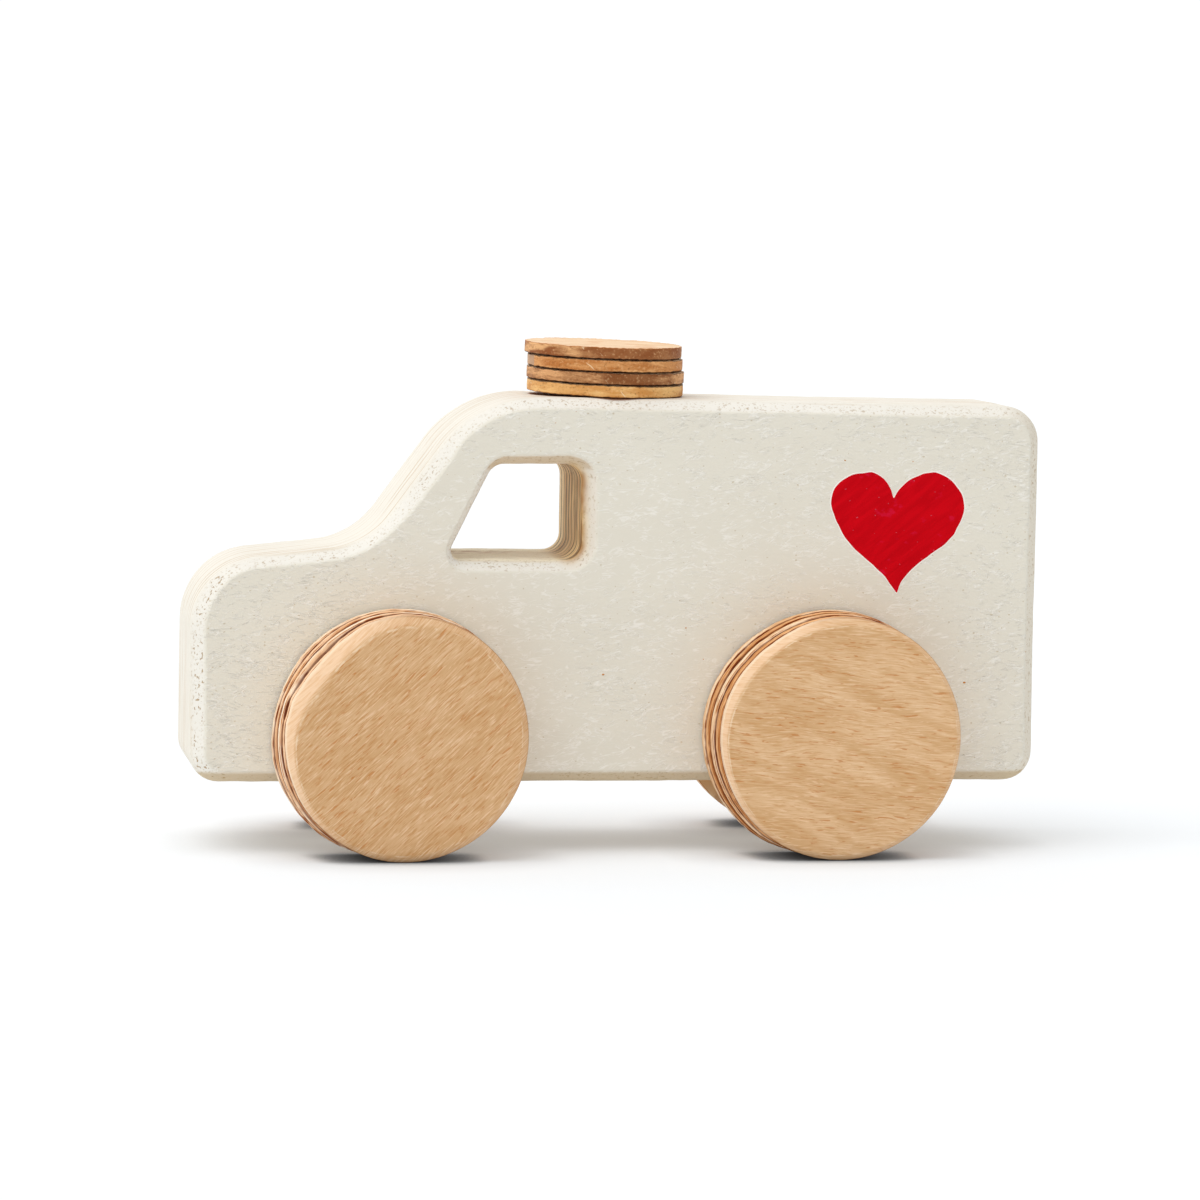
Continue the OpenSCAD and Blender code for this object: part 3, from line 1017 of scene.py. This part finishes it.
low, rise, high = rim_points(disc_radius, 0.0, disc_thickness, rim_edge)
whole_disc = turn_section("whole_disc", face_points(0.0, low[0][0], 0.0) + low + rise + high
                          + face_points(0.0, high[-1][0], disc_thickness)[::-1])
foot = Matrix.Translation((beacon_x, 0, beacon_foot_z)) @ Matrix.Rotation(lean_way, 4, "Z")
foot = foot @ Matrix.Rotation(roof_fall, 4, "Y")
foot = foot @ Matrix.Translation((disc_radius, 0, disc_pitch - disc_thickness))
foot = foot @ Matrix.Rotation(beacon_lean, 4, "Y") @ Matrix.Translation((-disc_radius, 0, 0))
burnt = shade(80, 40, 14)
for n, (slip, light, dark, chip, scorched) in enumerate(beacon_discs, 1):
    disc = copy_piece(whole_disc, "sawn_beacon_disc_" + str(n))
    mark_across(disc, disc_thickness)
    roughen_disc(disc, 11.0 * n, chip, scorched)
    aside = Matrix.Translation((slip * mm, 0, 0))
    disc.data.transform(aside @ foot @ Matrix.Translation((0, 0, (n - 1) * disc_pitch)))
    smooth_shading(disc, 50)
    # The lowest disc has a paler brown line at its foot: glue, and painted shade where it sits on the
    # roof
    foot_line = burnt if n > 1 else shade(150, 92, 44)
    head_line = burnt if n < len(beacon_discs) else shade(176, 106, 48)
    disc.data.materials.append(sawn_disc("beacon_wood_" + str(n), light, dark, foot_line, head_line))
    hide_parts("beacon_disc_" + str(n))
    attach(disc, "body")
bpy.data.objects.remove(whole_disc)


# Floor, light and camera: a white studio floor, daylight from all round that is brightest behind the toy,
# one broad soft light from the upper left, and a long lens from the toy's left side.
def open_around(tree, reach):
    """How open the floor is round a point, from 0 to 1, within a reach in mm."""
    node = tree.nodes.new("ShaderNodeAmbientOcclusion")
    node.inputs["Distance"].default_value = reach * mm
    node.samples = 6
    return node.outputs["AO"]


def studio_white():
    """White floor that glows a little where open, with painted shadow close to what stands on it."""
    material, tree, shader, place = new_finish("studio_white", roughness=0.9, specular=0.0)
    speck = figure(tree, place, (40, 40, 40), detail=2)
    white = tint(tree, speck, (0.575, 0.600, 0.620, 1), (0.585, 0.610, 0.630, 1))
    # Painted contact shadow: the floor is darker close to what stands on it
    clear = fade(tree, open_around(tree, 6), 0.35, 0.95)
    white = tint(tree, clear, (0.07, 0.073, 0.076, 1), white)
    tree.links.new(white, shader.inputs["Base Color"])
    shader.inputs["Emission Color"].default_value = (1, 1, 1, 1)
    # The floor's glow fades close to what stands on it: painted shadow too
    tree.links.new(times(tree, open_around(tree, 17.5), 0.37), shader.inputs["Emission Strength"])
    return material


bpy.ops.object.select_all(action="DESELECT")
bpy.ops.mesh.primitive_plane_add(size=12)
floor = bpy.context.object
floor.name = "studio_floor"
floor.data.materials.append(studio_white())

world = bpy.data.worlds.new("studio")
bpy.context.scene.world = world
world.use_nodes = True
sky_tree = world.node_tree
sky = sky_tree.nodes["Background"]
way = parts(sky_tree, sky_tree.nodes.new("ShaderNodeTexCoord").outputs["Generated"])
back = fade(sky_tree, way[1], 0.2, 0.85)
glow = tint(sky_tree, back, (0.69, 0.69, 0.69, 1), (1.18, 1.18, 1.18, 1))
tail_side = fade(sky_tree, way[0], 0.35, 0.95)
glow = tint(sky_tree, tail_side, glow, (0.58, 0.58, 0.58, 1))
horizon = fade(sky_tree, calc(sky_tree, "ABSOLUTE", way[2]), 0.12, 0.06)
glow = tint(sky_tree, horizon, glow, (1.05, 1.05, 1.05, 1))
sky_tree.links.new(glow, sky.inputs["Color"])

bpy.ops.object.light_add(type="SUN")
key_light = bpy.context.object
key_light.name = "key_light"
key_light.data.energy = 1.35
key_light.data.angle = math.radians(50)
key_light.rotation_euler = Vector((0.46, 0.20, -0.86)).to_track_quat("-Z", "Y").to_euler()

bpy.ops.object.camera_add()
camera = bpy.context.object
camera.name = "camera"
yaw = math.radians(9.045)
pitch = math.radians(4.762)
roll = math.radians(-0.93)
ahead = Vector((math.sin(yaw) * math.cos(pitch), math.cos(yaw) * math.cos(pitch), -math.sin(pitch)))
level = Vector((math.cos(yaw), -math.sin(yaw), 0))
down = ahead.cross(level)
right = level * math.cos(roll) + down * math.sin(roll)
upward = level * math.sin(roll) - down * math.cos(roll)
camera.matrix_world = Matrix.Translation((-0.16189, -1.00914, 0.13526)) @ Matrix(
    (right, upward, -ahead)).transposed().to_4x4()
film_width = 36
picture_pixels = 1200
focal_pixels = 4949
camera.data.sensor_width = film_width
camera.data.lens = film_width * focal_pixels / picture_pixels
bpy.context.scene.camera = camera
bpy.context.scene.view_settings.view_transform = "Standard"
